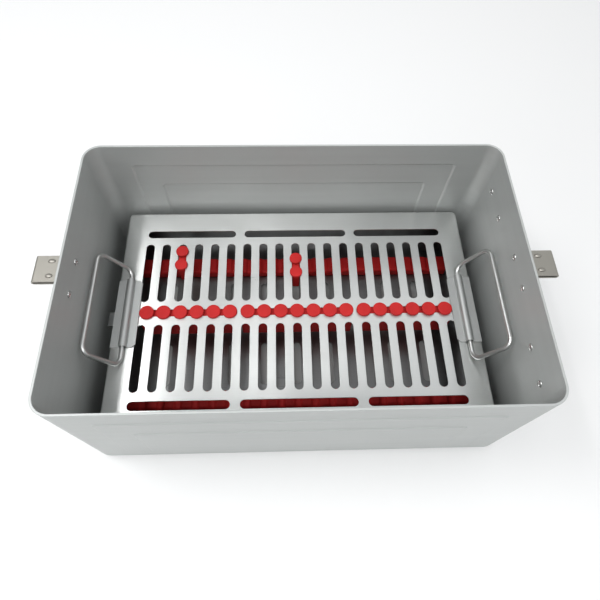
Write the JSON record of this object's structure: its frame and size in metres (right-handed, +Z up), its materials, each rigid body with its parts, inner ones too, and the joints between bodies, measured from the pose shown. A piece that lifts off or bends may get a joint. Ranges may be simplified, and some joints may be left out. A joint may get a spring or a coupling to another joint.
{
  "type": "instrument tray",
  "caption": "Slotted steel instrument cassette with red silicone hold-downs and folding wire handles, seated in an open aluminium container tub.",
  "frame": {"origin": "centre of the container tub's underside, on the surface it stands on", "axes": "+X along the tub's long side, +Y towards its back wall, +Z up"},
  "size_m": [0.3512, 0.2048, 0.1226],
  "materials": {
    "satin_aluminium": "satin anodised, light grey",
    "catch_steel": "brushed, slightly warm",
    "rivet_metal": "smooth domed heads",
    "holder_steel": "brushed",
    "blank_tag": "plain, unprinted",
    "base_steel": "brushed",
    "rail_steel": "brushed",
    "red_silicone": "matt red silicone",
    "latch_steel": "spring steel, brushed",
    "lid_steel": "fine brushed",
    "bracket_steel": "satin",
    "wire_steel": "electropolished wire"
  },
  "bodies": {
    "container": {"container_tub": "satin_aluminium", "left_lid_catch": "catch_steel", "right_lid_catch": "catch_steel", "left_catch_rivet_front": "rivet_metal", "left_catch_rivet_back": "rivet_metal", "right_catch_rivet_front": "rivet_metal", "right_catch_rivet_back": "rivet_metal", "front_holder_rivet_front": "rivet_metal", "front_holder_rivet_back": "rivet_metal", "back_holder_rivet_front": "rivet_metal", "back_holder_rivet_back": "rivet_metal", "front_label_holder": "holder_steel", "back_label_holder": "holder_steel"},
    "front_tag": {"front_label_tag": "blank_tag"},
    "back_tag": {"back_label_tag": "blank_tag"},
    "tray_base": {"cassette_base": "base_steel", "front_rail_support": "rail_steel", "back_rail_support": "rail_steel", "front_rail_silicone": "red_silicone", "back_rail_silicone": "red_silicone"},
    "latch": {"lid_latch": "latch_steel"},
    "tray_lid": {"cassette_lid": "lid_steel", "hold_down_strip_left": "red_silicone", "hold_down_strip_centre": "red_silicone", "hold_down_strip_right": "red_silicone", "left_handle_bracket": "bracket_steel", "right_handle_bracket": "bracket_steel"},
    "left_plug": {"slot_plug_left": "red_silicone"},
    "centre_plug": {"slot_plug_centre": "red_silicone"},
    "left_handle": {"left_wire_handle": "wire_steel"},
    "right_handle": {"right_wire_handle": "wire_steel"}
  },
  "joints": [
    {"name": "tray_lift", "type": "slide", "parent": "container", "child": "tray_base", "axis": [0, 0, 1], "range_m": [0, 0.13]},
    {"name": "lid_lift", "type": "slide", "parent": "tray_base", "child": "tray_lid", "axis": [0, 0, 1], "range_m": [0, 0.05]},
    {"name": "left_handle_swing", "type": "hinge", "parent": "tray_lid", "child": "left_handle", "pos_m": [-0.133, 0, 0.047], "axis": [0, 1, 0], "range_deg": [0, 118]},
    {"name": "right_handle_swing", "type": "hinge", "parent": "tray_lid", "child": "right_handle", "pos_m": [0.133, 0, 0.047], "axis": [0, -1, 0], "range_deg": [0, 118]},
    {"name": "latch_flex", "type": "hinge", "parent": "tray_base", "child": "latch", "pos_m": [-0.1429, -0.003, 0.0235], "axis": [0, -1, 0], "range_deg": [0, 6], "stiffness_Nm_per_rad": 0.05, "springref_deg": -5.73},
    {"name": "left_plug_slide", "type": "slide", "parent": "tray_lid", "child": "left_plug", "axis": [0, 1, 0], "range_m": [-0.0292, 0.0036]},
    {"name": "centre_plug_slide", "type": "slide", "parent": "tray_lid", "child": "centre_plug", "axis": [0, 1, 0], "range_m": [-0.0212, 0.0116]},
    {"name": "front_tag_slide", "type": "slide", "parent": "container", "child": "front_tag", "axis": [0, -1, 0], "range_m": [0, 0.05]},
    {"name": "back_tag_slide", "type": "slide", "parent": "container", "child": "back_tag", "axis": [0, 1, 0], "range_m": [0, 0.05]}
  ]
}
